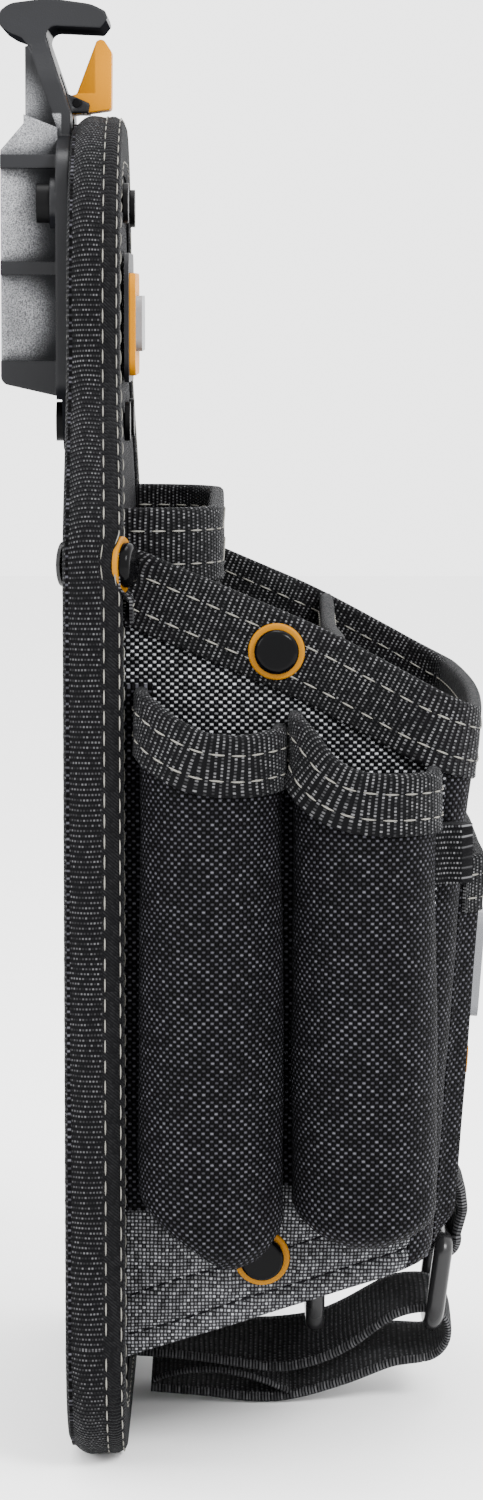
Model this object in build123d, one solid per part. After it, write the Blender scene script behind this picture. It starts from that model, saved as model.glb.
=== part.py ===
from build123d import *
from math import atan, cos, degrees, radians, sin
import os

# Electrician's tool pouch that clips to a belt hub.
# Working frame, in mm: X forward from the panel's rear face, Y across the pouch, Z up from the panel's
# lower edge. Every piece is shifted when it is written, so that the origin of the files is the centre
# of the clip bracket's rear face, which bears on the belt hub.

# ------------------------------------------------------------------ driving dimensions
# Back panel
PANEL_HEIGHT = 296.0
PANEL_HALF_WIDTH = 84.0
PANEL_FOOT_CORNER = 30.0
NECK_HALF_WIDTH = 57.0
SHOULDER_LOW = 205.0
SHOULDER_HIGH = 240.0
PANEL_THICKNESS = 12.6
PANEL_FRONT = PANEL_THICKNESS
PANEL_EDGE_ROUND = 3.5
BINDING_FACE = 13.0
TAPE = 0.8
CORE_INSET = 1.2

# Main pocket
CLOTH = 1.6
POCKET_HALF_WIDTH = 70.0
POCKET_FRONT_LOW = 80.0
POCKET_FRONT_RISE = 9.0 / 124.0
POCKET_LOW_FRONT_Z = 46.0
POCKET_CORNER = 12.0
WALL_SEAM_X = 77.0
RIM_REAR_Z = 202.0
RIM_SLOPE = -0.426
FLOOR_REAR_Z = 25.0
FLOOR_SLOPE = 0.31
RIM_BAND = 15.0
ABOVE_ALL = 240.0
DIVIDER_X = 58.0
DIVIDER_BAND = 12.0
FLAP_WIDTH = 12.6

# Sleeve pocket on the panel, behind the main pocket's rear compartment
SLEEVE_HALF_WIDTH = 62.0
SLEEVE_FRONT = 33.0
SLEEVE_LOW = 88.0
SLEEVE_TOP = 209.0

# Tube pockets outside the near side wall
TUBE_RADIUS = 15.6
TUBE_STANDOFF = 6.0
TUBE_FLOOR_Z = 54.0
TUBE_BAND = 12.5
TUBE_FLOOR = 2.0

# Panel badge: name, centre height, width, height, corner radius and thickness of each layer
PANEL_BADGE = [
    ("panel_badge_base", 250.5, 48.0, 29.0, 6.0, 1.0),
    ("panel_badge_body", 249.0, 40.0, 23.0, 4.0, 1.4),
    ("panel_badge_face", 249.2, 32.0, 12.5, 3.0, 1.4),
]

# Front pocket and its badge
FRONT_BADGE_BASE = 1.2
TRAY_DEPTH = 5.0
TRAY_HALF_WIDTH = 54.0
TRAY_LOW = 47.0
TRAY_TOP = 132.0
TRAY_BAND = 12.0

# Rings, their tabs and the strap
RING_WIRE = 2.2
RING_INNER_WIDTH = 27.0
FRONT_RING_DROP = 19.4
REAR_RING_DROP = 15.6
RING_TOP_CORNER = 2.5
RING_FOOT_CORNER = 5.0
TAB_WIDTH = 25.0
TAB_RADIUS = 3.8
FRONT_RING = (84.6, 38.4)
FRONT_RING_TILT = 7.5
REAR_RING = (55.0, 34.8)
STRAP_WIDTH = 24.5
STRAP_THICKNESS = 1.8
FOLD_CENTRE = (80.0, 17.6)
FOLD_RADIUS = 6.0
TAIL_GAP = 0.1
PATCH_THICKNESS = 1.0
PATCH_HALF = 11.0

# Clip bracket, release lever and its pin
BRACKET_DEPTH = 15.5
ORIGIN_Z = 260.0
BOX_REAR_HALF = 27.0
BOX_FRONT_HALF = 23.0
BOX_LOW = 232.5
BOX_TOP = 287.5
RIB_HALF = 29.0
RIB_THICKNESS = 3.0
FLANGE = 3.0
FLANGE_HALF = 36.0
FLANGE_LOW = 221.0
STEM_HALF = 20.0
GRIP_HALF = 16.0
WEB_HALF = 17.0
SOCKET_HALF = 20.0
SOCKET_REAR = -13.0
SOCKET_FRONT = -3.0
SOCKET_TOP = 283.5
LEVER_HALF = 5.5
LEVER_RIDGE_X = 4.9
LEVER_REAR_X = -2.0
LEVER_REAR_SHARE = 0.45
LEVER_FACET_LOW = 301.0
LEVER_PIN = (0.8, 298.6)
LEVER_PIN_RADIUS = 1.0
EAR_THICKNESS = 3.0
LEAF_THICKNESS = 0.6
LEAF_HALF = 4.0
RUNNING_GAP = 0.05

# Rivets
WASHER_RADIUS = 6.1
WASHER_THICKNESS = 1.0
CAP_RADIUS = 4.8
CAP_HEIGHT = 2.2
POST_RADIUS = 2.0
BACK_DISC_RADIUS = 4.8
BACK_DISC = 0.8
BRACKET_RIVETS = [(30.5, 275.8), (18.0, 227.3)]
BRACKET_RIVET_HEAD = 4.4
CORNER_RIVET = (12.2, 77.0, 198.5)
CORNER_RIVET_TILT = 15.0
RIM_RIVET_X, RIM_RIVET_Z = 45.5, 179.6
LOW_RIVET_X, LOW_RIVET_Z = 42.4, 47.4

parts = {}


# ------------------------------------------------------------------ helpers
def outline(*corners):
    """Closed face from corners (a, b) or (a, b, radius)."""
    points = [corner[:2] for corner in corners]
    radii = [corner[2] if len(corner) == 3 else 0 for corner in corners]
    return make_face(FilletPolyline(*points, radius=radii, close=True))


def across(face, y_low, y_high):
    """Extrude an (x, z) face from y_low to y_high."""
    plane = Plane(origin=(0, y_high, 0), x_dir=(1, 0, 0), z_dir=(0, -1, 0))
    return extrude(plane * face, amount=y_high - y_low)


def upward(face, z_low, z_high):
    """Extrude an (x, y) face from z_low to z_high."""
    return extrude(Pos(0, 0, z_low) * face, amount=z_high - z_low)


def forward(face, x_low, x_high):
    """Extrude a (y, z) face from x_low to x_high."""
    plane = Plane(origin=(x_low, 0, 0), x_dir=(0, 1, 0), z_dir=(1, 0, 0))
    return extrude(plane * face, amount=x_high - x_low)


def block(x_low, x_high, y_low, y_high, z_low, z_high):
    """Plain box between two corners."""
    size = (x_high - x_low, y_high - y_low, z_high - z_low)
    return Pos(x_low, y_low, z_low) * Box(*size, align=(Align.MIN, Align.MIN, Align.MIN))


def rod(start, direction, radius, length):
    """Round bar from start along direction."""
    plane = Plane(origin=start, z_dir=direction)
    return extrude(plane * Circle(radius), amount=length)


def cross_rod(x, z, radius, y_low, y_high):
    """Round bar along Y."""
    return rod((x, y_low, z), (0, 1, 0), radius, y_high - y_low)


def both_sides(solid):
    """The solid and its mirror image across the pouch's middle plane."""
    return solid + mirror(solid, about=Plane.XZ)


def rim_z(x):
    """Height of the pocket's cloth edge at x."""
    return RIM_REAR_Z + RIM_SLOPE * (x - PANEL_FRONT)


def floor_z(x):
    """Height of the pocket's lower edge at x."""
    return FLOOR_REAR_Z + FLOOR_SLOPE * (x - PANEL_FRONT)


def front_x(z):
    """Outer face of the pocket's front wall at height z."""
    return POCKET_FRONT_LOW + POCKET_FRONT_RISE * (z - POCKET_LOW_FRONT_Z)


def band_between(above, below):
    """Space between two lines parallel to the rim, as a full-width slab."""
    far = 100.0
    face = outline(
        (0, rim_z(0) + below), (far, rim_z(far) + below), (far, rim_z(far) + above), (0, rim_z(0) + above)
    )
    return across(face, -far, far)


def pocket_space(inset):
    """Solid plan of the main pocket, narrowed by inset, tapering towards its foot."""

    def plan(z):
        front = front_x(z) - inset
        half = POCKET_HALF_WIDTH - inset
        path = FilletPolyline(
            (PANEL_FRONT, -half), (front, -half), (front, half), (PANEL_FRONT, half),
            radius=POCKET_CORNER - inset,
        )
        rear = Line((PANEL_FRONT, half), (PANEL_FRONT, -half))
        return Pos(0, 0, z) * make_face(path + rear)

    return loft([plan(0), plan(ABOVE_ALL)], ruled=True)


def below_rim_above_floor(rim_offset, floor_offset):
    """Side shape of the main pocket, as a full-width slab."""
    far = 100.0
    face = outline(
        (0, floor_z(0) + floor_offset),
        (far, floor_z(far) + floor_offset),
        (far, rim_z(far) + rim_offset),
        (0, rim_z(0) + rim_offset),
    )
    return across(face, -far, far)


# ------------------------------------------------------------------ back panel
def panel_face(inset):
    """Panel outline in (y, z), moved inwards by inset."""
    corners = [
        (-PANEL_HALF_WIDTH, 0, PANEL_FOOT_CORNER), (PANEL_HALF_WIDTH, 0, PANEL_FOOT_CORNER),
        (PANEL_HALF_WIDTH, SHOULDER_LOW, 28), (NECK_HALF_WIDTH, SHOULDER_HIGH, 28),
        (NECK_HALF_WIDTH, PANEL_HEIGHT, 44), (-NECK_HALF_WIDTH, PANEL_HEIGHT, 44),
        (-NECK_HALF_WIDTH, SHOULDER_HIGH, 28), (-PANEL_HALF_WIDTH, SHOULDER_LOW, 28),
    ]
    face = outline(*corners)
    return offset(face, amount=-inset) if inset else face


def rounded_slab(inset, x_low, x_high, radius):
    """Panel-shaped slab with both rims rounded."""
    slab = forward(panel_face(inset), x_low, x_high)
    ends = slab.faces().sort_by(Axis.X)
    return fillet(ends[0].edges() + ends[-1].edges(), radius)


def make_panel():
    core = rounded_slab(CORE_INSET, TAPE, PANEL_THICKNESS - TAPE, PANEL_EDGE_ROUND - 1)
    tape = rounded_slab(0, 0, PANEL_THICKNESS, PANEL_EDGE_ROUND)
    tape -= forward(panel_face(BINDING_FACE), -1, PANEL_THICKNESS + 1)
    parts["back_panel"] = core
    parts["panel_binding"] = tape - core


# ------------------------------------------------------------------ main pocket
def make_pocket():
    shell = pocket_space(0) - pocket_space(CLOTH)
    shell &= below_rim_above_floor(0, 0)
    side = block(0, WALL_SEAM_X, -100, 0, 0, ABOVE_ALL)
    near_wall = shell & side
    parts["near_side_wall"] = near_wall
    parts["far_side_wall"] = mirror(near_wall, about=Plane.XZ)
    parts["front_wall"] = shell - block(0, WALL_SEAM_X, -100, 100, 0, ABOVE_ALL)

    lining = pocket_space(CLOTH)
    floor_slab = below_rim_above_floor(0, 0) - below_rim_above_floor(1, CLOTH)
    parts["pocket_floor"] = lining & floor_slab

    band = pocket_space(-TAPE) - pocket_space(CLOTH + TAPE)
    band &= band_between(TAPE, -RIM_BAND)
    flap = block(
        PANEL_FRONT, PANEL_FRONT + CLOTH, -POCKET_HALF_WIDTH - FLAP_WIDTH, -POCKET_HALF_WIDTH,
        rim_z(PANEL_FRONT) - RIM_BAND, rim_z(PANEL_FRONT) + TAPE,
    )
    flap = fillet(flap.edges().filter_by(Axis.X).group_by(Axis.Y)[0], 3.0)
    band += both_sides(flap)
    parts["rim_binding"] = band - shell

    sheet = block(DIVIDER_X, DIVIDER_X + CLOTH, -100, 100, 0, ABOVE_ALL)
    sheet &= lining & below_rim_above_floor(0, CLOTH)
    sheet -= parts["rim_binding"]
    parts["divider"] = sheet
    hem = block(DIVIDER_X - TAPE, DIVIDER_X + CLOTH + TAPE, -100, 100, 0, ABOVE_ALL)
    hem &= pocket_space(CLOTH + TAPE) & band_between(TAPE, -DIVIDER_BAND)
    parts["divider_binding"] = hem - sheet


# ------------------------------------------------------------------ sleeve pocket on the panel
def sleeve_plan(inset):
    """Plan of the sleeve, open at the panel."""
    half = SLEEVE_HALF_WIDTH - inset
    front = SLEEVE_FRONT - inset
    corner = 13.0 - inset
    return outline((PANEL_FRONT, -half), (front, -half, corner), (front, half, corner), (PANEL_FRONT, half))


def make_sleeve():
    wall = upward(sleeve_plan(0), SLEEVE_LOW, SLEEVE_TOP)
    wall -= upward(sleeve_plan(CLOTH), SLEEVE_LOW + CLOTH, SLEEVE_TOP + 1)
    parts["sleeve_pocket"] = wall
    band = upward(sleeve_plan(-TAPE), SLEEVE_TOP - RIM_BAND, SLEEVE_TOP + TAPE)
    band -= upward(sleeve_plan(CLOTH + TAPE), 0, ABOVE_ALL)
    parts["sleeve_binding"] = band - wall


# ------------------------------------------------------------------ tube pockets
def tube_plan(centre_x, inset):
    """Plan of one tube: short straight sides and a half-round front."""
    radius = TUBE_RADIUS - inset
    wall_y = -POCKET_HALF_WIDTH
    round_y = wall_y - TUBE_STANDOFF
    left = centre_x - radius
    right = centre_x + radius
    path = Line((left, wall_y), (left, round_y))
    path += ThreePointArc((left, round_y), (centre_x, round_y - radius), (right, round_y))
    path += Line((right, round_y), (right, wall_y))
    path += Line((right, wall_y), (left, wall_y))
    return make_face(path)


def make_tube(name, centre_x, top_corners, foot_cut):
    """Closed-bottomed tube with a bound, draped mouth; top_corners runs from rear to front."""
    left = centre_x - TUBE_RADIUS - 2
    right = centre_x + TUBE_RADIUS + 2

    def mouth(offset_z):
        return [(x, z + offset_z) for x, z in top_corners]

    def side_shape(low, top_offset):
        foot = [(right, low), (left + foot_cut + 2, low), (left, low + foot_cut)]
        return across(outline(*mouth(top_offset), *foot), -120, -POCKET_HALF_WIDTH)

    body = upward(tube_plan(centre_x, 0), TUBE_FLOOR_Z, ABOVE_ALL) & side_shape(TUBE_FLOOR_Z, 0)
    hollow = upward(tube_plan(centre_x, CLOTH), TUBE_FLOOR_Z, ABOVE_ALL)
    hollow &= side_shape(TUBE_FLOOR_Z + TUBE_FLOOR, 30)
    wall = body - hollow
    parts[name] = wall
    collar = upward(tube_plan(centre_x, -TAPE), 0, ABOVE_ALL)
    collar -= upward(tube_plan(centre_x, CLOTH + TAPE), 0, ABOVE_ALL)
    collar &= side_shape(TUBE_FLOOR_Z, TAPE) - side_shape(TUBE_FLOOR_Z, -TUBE_BAND)
    collar &= block(0, 100, -120, -POCKET_HALF_WIDTH - TAPE, 0, ABOVE_ALL)
    parts[name + "_binding"] = collar - wall


def make_side_tab():
    """Folded webbing end sewn over the front corner, just below the front tube's mouth."""
    tab = block(80.4, 87.4, -72.6, -60, 129.5, 142.6)
    parts["side_tab"] = tab - pocket_space(0) - block(0, 100, -65, 0, 0, ABOVE_ALL)


# ------------------------------------------------------------------ front pocket and badges
def tray_face(z_low, z_high, near, far):
    """Side shape in (x, z) that follows the front wall, from near to far in front of it."""
    return outline(
        (front_x(z_low) + near, z_low), (front_x(z_low) + far, z_low),
        (front_x(z_high) + far, z_high), (front_x(z_high) + near, z_high),
    )


def make_front_pocket():
    half = TRAY_HALF_WIDTH
    tray = across(tray_face(TRAY_LOW, TRAY_TOP, 0, TRAY_DEPTH), -half, half)
    room = across(
        tray_face(TRAY_LOW + CLOTH, ABOVE_ALL, 0, TRAY_DEPTH - CLOTH), CLOTH - half, half - CLOTH
    )
    tray -= room
    parts["front_pocket"] = tray
    hem_side = tray_face(TRAY_TOP - TRAY_BAND, TRAY_TOP + TAPE, 0, TRAY_DEPTH + TAPE)
    hem = across(hem_side, -half - TAPE, half + TAPE)
    inner_half = half - CLOTH - TAPE
    hem -= across(tray_face(0, ABOVE_ALL, 0, TRAY_DEPTH - CLOTH - TAPE), -inner_half, inner_half)
    parts["front_pocket_binding"] = hem - tray


def badge_plate(z, rise, half_width, half_height, thickness, corner):
    """Rounded plate lying on the front pocket, rise above its face."""
    lean = atan(POCKET_FRONT_RISE)
    plane = Plane(
        origin=(front_x(z) + TRAY_DEPTH, 0, z), x_dir=(0, 1, 0), z_dir=(cos(lean), 0, -sin(lean))
    )
    face = RectangleRounded(2 * half_width, 2 * half_height, corner)
    return extrude(plane.offset(rise) * face, amount=thickness)


def make_badges():
    base_rise = FRONT_BADGE_BASE
    parts["front_badge_base"] = badge_plate(94.0, 0, 24, 24.5, base_rise, 4)
    parts["front_badge_face"] = badge_plate(104.0, base_rise, 21, 12, 2.2, 3)
    parts["front_badge_accent"] = badge_plate(81.0, base_rise, 14, 3, 1.2, 1.5)

    low = PANEL_THICKNESS - TAPE
    for name, centre_z, width, height, corner, thickness in PANEL_BADGE:
        plate = Pos(0, centre_z) * RectangleRounded(width, height, corner)
        parts[name] = forward(plate, low, low + thickness)
        low += thickness


# ------------------------------------------------------------------ rings, tabs and strap
def ring(position, drop, tilt):
    """Rounded rectangular ring hanging from its bar; tilt swings its foot to the rear."""
    half = RING_INNER_WIDTH / 2 + RING_WIRE
    path = FilletPolyline(
        (-half, 0), (half, 0), (half, -drop), (-half, -drop),
        radius=[RING_TOP_CORNER, RING_TOP_CORNER, RING_FOOT_CORNER, RING_FOOT_CORNER], close=True,
    )
    plane = Plane(origin=(0, 0, 0), x_dir=(0, 1, 0), z_dir=(1, 0, 0))
    path = plane * path
    section = Plane(origin=(0, 0, 0), z_dir=(0, 1, 0)) * Circle(RING_WIRE)
    solid = sweep(section, path=path)
    return Pos(position[0], 0, position[1]) * Rot(0, tilt, 0) * solid


def tab(position, top_block):
    """Webbing loop round a ring's bar, with the block that is sewn to the pocket."""
    x, z = position
    half = TAB_WIDTH / 2
    body = cross_rod(x, z, TAB_RADIUS, -half, half) + top_block
    return body - cross_rod(x, z, RING_WIRE + RUNNING_GAP, -half - 1, half + 1)


def make_rings():
    half = TAB_WIDTH / 2
    x, z = FRONT_RING
    riser = outline((x - TAB_RADIUS, z), (x + TAB_RADIUS, z), (x + TAB_RADIUS, 45, 3), (87.6, 55), (82, 55))
    front_tab = tab(FRONT_RING, across(riser, -half, half))
    front_tab -= pocket_space(0) & below_rim_above_floor(0, 0)
    front_tab -= across(tray_face(TRAY_LOW, TRAY_TOP, 0, TRAY_DEPTH), -half - 1, half + 1)
    parts["front_ring_tab"] = front_tab
    parts["front_ring"] = ring(FRONT_RING, FRONT_RING_DROP, FRONT_RING_TILT)

    x, z = REAR_RING
    hanger = block(x - TAB_RADIUS, x + TAB_RADIUS, -half, half, z, z + 10)
    parts["rear_ring_tab"] = tab(REAR_RING, hanger) - below_rim_above_floor(0, 0)
    parts["rear_ring"] = ring(REAR_RING, REAR_RING_DROP, 0)


def ribbon(path):
    """Strap-wide band of strap thickness along an (x, z) path."""
    face = trace(path, STRAP_THICKNESS)
    return across(face, -STRAP_WIDTH / 2, STRAP_WIDTH / 2)


def make_strap():
    x, z = FOLD_CENTRE
    fold_top = (x, z + FOLD_RADIUS)
    fold_foot = (x, z - FOLD_RADIUS)
    run = FilletPolyline(
        (PANEL_FRONT + STRAP_THICKNESS / 2, 12.8), (58, 10.2), (74.5, fold_top[1]), fold_top, radius=[30, 9]
    )
    fold = ThreePointArc(fold_top, (x + FOLD_RADIUS, z), fold_foot)
    parts["strap"] = ribbon(run + fold)

    tail_start = (x - TAIL_GAP, fold_foot[1])
    tail = FilletPolyline(tail_start, (72, fold_foot[1]), (44, 2.8), (17, 5.8), radius=[18, 70])
    parts["strap_tail"] = ribbon(tail)


def make_hook_patch():
    """Hook tape sewn to the tail near its free end and bowed up in between."""
    arch = ThreePointArc((18.5, 7.2), (33.0, 9.7), (49.0, 6.2))
    face = trace(arch, PATCH_THICKNESS)
    patch = across(face, -PATCH_HALF, PATCH_HALF)
    parts["hook_patch"] = patch - parts["strap_tail"] - parts["strap"]


# ------------------------------------------------------------------ clip bracket and lever
def grip_face():
    """Side shape of the arched grip and the stem that leans down from it."""
    return outline(
        (-16.2, 318.7, 1.8), (-13.8, 320.5, 5), (-5.0, 321.6, 24), (4.4, 320.3, 8), (7.6, 318.7, 1.0),
        (8.0, 317.0, 0.8), (6.4, 315.0, 0.8), (-6.6, 315.6, 2.2), (-0.3, 296.8, 1), (-0.05, 290),
        (-0.05, 286), (-FLANGE, 286), (-FLANGE, 292.0, 2), (-9.6, 310.8, 1.6), (-11.2, 312.9, 1.5),
        (-13.6, 313.8, 2), (-16.2, 315.4, 1.6),
    )


def web_face():
    """Side shape of the narrower web behind the stem."""
    return outline((-10.4, 310.8), (-9.4, 311.2), (-1.5, 292), (-1.5, 286), (-12, 286), (-10.4, 294))


def grip_front():
    """Front view in (y, z) of the grip and stem: the stem narrows into the grip."""
    return outline(
        (-STEM_HALF, 280), (STEM_HALF, 280), (STEM_HALF, 304, 6), (GRIP_HALF, 311, 6),
        (GRIP_HALF, 325), (-GRIP_HALF, 325), (-GRIP_HALF, 311, 6), (-STEM_HALF, 304, 6),
    )


def box_plan(shrink):
    """Plan of the bracket's box: side walls drafted inwards towards the flange."""
    return outline(
        (-BRACKET_DEPTH + shrink, -BOX_REAR_HALF + shrink), (-FLANGE, -BOX_FRONT_HALF + shrink),
        (-FLANGE, BOX_FRONT_HALF - shrink), (-BRACKET_DEPTH + shrink, BOX_REAR_HALF - shrink),
    )


def rib(z_low, z_high):
    """Flat stiffening plate round the box."""
    return block(-BRACKET_DEPTH, -FLANGE, -RIB_HALF, RIB_HALF, z_low, z_high)


def make_bracket():
    box_side = outline(
        (-BRACKET_DEPTH, BOX_LOW + 3.5, 2), (0, BOX_LOW), (0, BOX_TOP + 4), (-10.4, BOX_TOP + 8),
        (-10.4, BOX_TOP + 6), (-BRACKET_DEPTH, BOX_TOP),
    )
    body = upward(box_plan(0), BOX_LOW - 1, BOX_TOP + 8)
    body += rib(BOX_TOP - 4.0, BOX_TOP - 1.0)
    body += rib(260.0, 263.0)
    body += rib(BOX_LOW - 1, BOX_LOW + 8.5)
    body &= across(box_side, -RIB_HALF, RIB_HALF)

    flange = forward(
        outline(
            (-FLANGE_HALF, 236, 8), (-24, FLANGE_LOW, 6), (24, FLANGE_LOW, 6), (FLANGE_HALF, 236, 8),
            (FLANGE_HALF, 286, 9), (STEM_HALF, 291, 3), (-STEM_HALF, 291, 3), (-FLANGE_HALF, 286, 9),
        ),
        -FLANGE, 0,
    )
    lower_tongue = block(-FLANGE - 1, -1.8, -40, 40, FLANGE_LOW - 1, BOX_LOW)
    body += flange - lower_tongue
    for side in (-1, 1):
        y, z = BRACKET_RIVETS[0]
        body += rod((-4.3, side * y, z), (1, 0, 0), 5.6, 4.3)
    stem = across(grip_face(), -STEM_HALF, STEM_HALF) & forward(grip_front(), -20, 20)
    body += stem
    body += across(web_face(), -WEB_HALF, WEB_HALF)

    ear_side = outline(
        (-2.5, 301.0), (-0.8, 300.6), (3.8, 298.6, 0.6), (3.4, 296.5), (-0.5, 296.5), (-1.5, 292)
    )
    body += across(ear_side, -LEVER_HALF - EAR_THICKNESS, LEVER_HALF + EAR_THICKNESS)

    socket = block(SOCKET_REAR, SOCKET_FRONT, -SOCKET_HALF, SOCKET_HALF, BOX_LOW - 5, SOCKET_TOP)
    lever_half = LEVER_HALF + RUNNING_GAP * 4
    lever_well = across(
        outline(
            (-9.2, 268), (0.1, 268), (0.1, 291), (1.4, 293), (5, 293), (5, 306), (-3.4, 306), (-9.2, 290)
        ),
        -lever_half, lever_half,
    )
    body -= socket
    body -= lever_well
    body -= block(SOCKET_REAR + 1, -8.0, -STEM_HALF + 3, STEM_HALF - 3, SOCKET_TOP - 1, 290)
    body -= cross_rod(*LEVER_PIN, LEVER_PIN_RADIUS, -STEM_HALF, STEM_HALF)
    for y, z in BRACKET_RIVETS:
        for side in (-1, 1):
            body -= rod((-10, side * y, z), (1, 0, 0), POST_RADIUS, 12)
    parts["clip_bracket"] = body


def make_lever():
    side = outline(
        (5.2, 312.6, 0.6), (6.6, 313.4, 1.2), (8.6, 310.4, 1.5), (8.5, 297.4, 0.8), (3.0, 296.6, 0.5),
        (-0.3, 296.2), (-2.6, 289.5, 1), (-3.4, 275.4, 0.8), (-5.0, 275.4, 0.4), (-6.4, 277.4, 0.4),
        (-6.4, 279.4, 0.3), (-5.0, 280.2, 0.5), (-4.8, 290.0, 1), (-1.6, 300.2, 0.6), (0.6, 300.8),
    )
    lever = across(side, -LEVER_HALF, LEVER_HALF)
    lever -= cross_rod(*LEVER_PIN, LEVER_PIN_RADIUS + RUNNING_GAP, -20, 20)
    for edge in (-LEVER_HALF, LEVER_HALF):
        corners = [(LEVER_RIDGE_X, edge), (LEVER_REAR_X, edge), (LEVER_REAR_X, edge * LEVER_REAR_SHARE)]
        facet = Polygon(*corners, align=None)
        lever -= Pos(0, 0, LEVER_FACET_LOW) * extrude(facet, 20, dir=(0, 0, 1))
    parts["release_lever"] = lever
    pin_half = LEVER_HALF + EAR_THICKNESS
    parts["lever_pin"] = cross_rod(*LEVER_PIN, LEVER_PIN_RADIUS, -pin_half, pin_half)
    leaf = FilletPolyline((0.5, 258.0), (0.5, 272.0), (-2.7, 281.5), (-2.4, 285.0), radius=[4, 3])
    parts["lever_spring"] = across(trace(leaf, LEAF_THICKNESS), -LEAF_HALF, LEAF_HALF)


# ------------------------------------------------------------------ rivets
def capped_rivet(seat, direction, grip):
    """Washer, cap and post of a rivet; its back disc lies grip below the washer's seat."""
    place = Plane(origin=seat, z_dir=direction)
    washer = extrude(Circle(WASHER_RADIUS) - Circle(POST_RADIUS), amount=WASHER_THICKNESS)
    washer = fillet(washer.edges().group_by(Axis.Z)[-1].sort_by(SortBy.LENGTH)[-1], 0.5)
    cap = Pos(0, 0, WASHER_THICKNESS) * extrude(Circle(CAP_RADIUS), amount=CAP_HEIGHT)
    cap = fillet(cap.edges().group_by(Axis.Z)[-1], 1.2)
    post = Pos(0, 0, -grip) * extrude(Circle(POST_RADIUS), amount=grip + WASHER_THICKNESS)
    post += Pos(0, 0, -grip - BACK_DISC) * extrude(Circle(BACK_DISC_RADIUS), amount=BACK_DISC)
    return place * washer, place * cap, place * post


def rivet_room(seat, direction, grip):
    """Space that a rivet and its two open sides take out of the cloth and board."""
    place = Plane(origin=seat, z_dir=direction)
    open_run = 6.0
    room = extrude(Circle(WASHER_RADIUS), amount=open_run)
    room += Pos(0, 0, -grip) * extrude(Circle(POST_RADIUS), amount=grip)
    room += Pos(0, 0, -grip - open_run) * extrude(Circle(BACK_DISC_RADIUS), amount=open_run)
    return place * room


def make_rivets():
    tilt = radians(CORNER_RIVET_TILT)
    seats = []
    for side in (-1, 1):
        x, y, z = CORNER_RIVET
        seats.append(((x, side * y, z), (cos(tilt), side * sin(tilt), 0), 12.0))
        rim_y = side * (POCKET_HALF_WIDTH + TAPE)
        seats.append(((RIM_RIVET_X, rim_y, RIM_RIVET_Z), (0, side, 0), CLOTH + 2 * TAPE))
        low_y = side * POCKET_HALF_WIDTH
        seats.append(((LOW_RIVET_X, low_y, LOW_RIVET_Z), (0, side, 0), CLOTH))
    washers, caps, posts = [], [], []
    for seat, direction, grip in seats:
        washer, cap, post = capped_rivet(seat, direction, grip)
        washers.append(washer)
        caps.append(cap)
        posts.append(post)
        room = rivet_room(seat, direction, grip)
        for name in ("back_panel", "panel_binding", "rim_binding", "near_side_wall", "far_side_wall"):
            parts[name] = parts[name] - room
    parts["rivet_washers"] = Compound(washers)
    parts["rivet_caps"] = Compound(caps)
    parts["rivet_posts"] = Compound(posts)


def make_bracket_rivets():
    rivets = []
    front = PANEL_THICKNESS - TAPE
    for row, (y, z) in enumerate(BRACKET_RIVETS):
        seat = -4.3 if row == 0 else -1.8
        head = 3.0 if row == 0 else 1.8
        for side in (-1, 1):
            start = (seat, side * y, z)
            body = rod((seat - head, side * y, z), (1, 0, 0), BRACKET_RIVET_HEAD, head)
            body += rod(start, (1, 0, 0), POST_RADIUS, front - seat)
            body += rod((front, side * y, z), (1, 0, 0), BRACKET_RIVET_HEAD, 1.2)
            rivets.append(body)
            parts["back_panel"] = parts["back_panel"] - body
            parts["panel_binding"] = parts["panel_binding"] - body
    parts["bracket_rivets"] = Compound(rivets)


# ------------------------------------------------------------------ build and write
make_panel()
make_pocket()
make_sleeve()
make_tube("rear_tube", 31.4, [(12, 184), (26, 168), (34, 165), (50, 164.5)], 12)
make_tube("front_tube", 64.4, [(46, 170), (58, 159), (66, 156.5), (82, 155.5)], 4)
make_side_tab()
make_front_pocket()
make_badges()
make_rings()
make_strap()
make_hook_patch()
make_bracket()
make_lever()
make_rivets()
make_bracket_rivets()

os.makedirs("parts", exist_ok=True)
to_origin = Pos(BRACKET_DEPTH, 0, -ORIGIN_Z)
for name, solid in parts.items():
    export_step(to_origin * solid, f"parts/{name}.step")
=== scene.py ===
import math

import bmesh
import bpy
import numpy as np
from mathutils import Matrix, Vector, noise


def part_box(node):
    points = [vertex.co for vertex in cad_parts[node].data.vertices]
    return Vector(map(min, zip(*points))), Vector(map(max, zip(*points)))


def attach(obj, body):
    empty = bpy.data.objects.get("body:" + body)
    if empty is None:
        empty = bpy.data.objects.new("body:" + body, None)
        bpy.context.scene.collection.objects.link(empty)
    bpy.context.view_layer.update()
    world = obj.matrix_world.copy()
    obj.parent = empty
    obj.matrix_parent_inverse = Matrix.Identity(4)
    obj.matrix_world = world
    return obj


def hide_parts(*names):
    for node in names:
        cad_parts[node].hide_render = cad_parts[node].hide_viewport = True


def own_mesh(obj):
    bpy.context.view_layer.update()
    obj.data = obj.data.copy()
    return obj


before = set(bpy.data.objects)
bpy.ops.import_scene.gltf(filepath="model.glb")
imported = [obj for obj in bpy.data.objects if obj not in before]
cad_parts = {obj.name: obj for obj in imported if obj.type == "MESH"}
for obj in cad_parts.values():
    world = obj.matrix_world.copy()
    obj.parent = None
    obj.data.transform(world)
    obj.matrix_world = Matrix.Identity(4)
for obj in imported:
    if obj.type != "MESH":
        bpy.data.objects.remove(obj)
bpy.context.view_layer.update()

# Lengths below are in millimetres in the panel's own frame: X forward from its rear face, Y across the
# pouch with the tube pockets at -Y, Z up from its lower edge. place() turns them into the row frame.
MM = 0.001
panel_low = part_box("panel_binding")[0]
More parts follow.
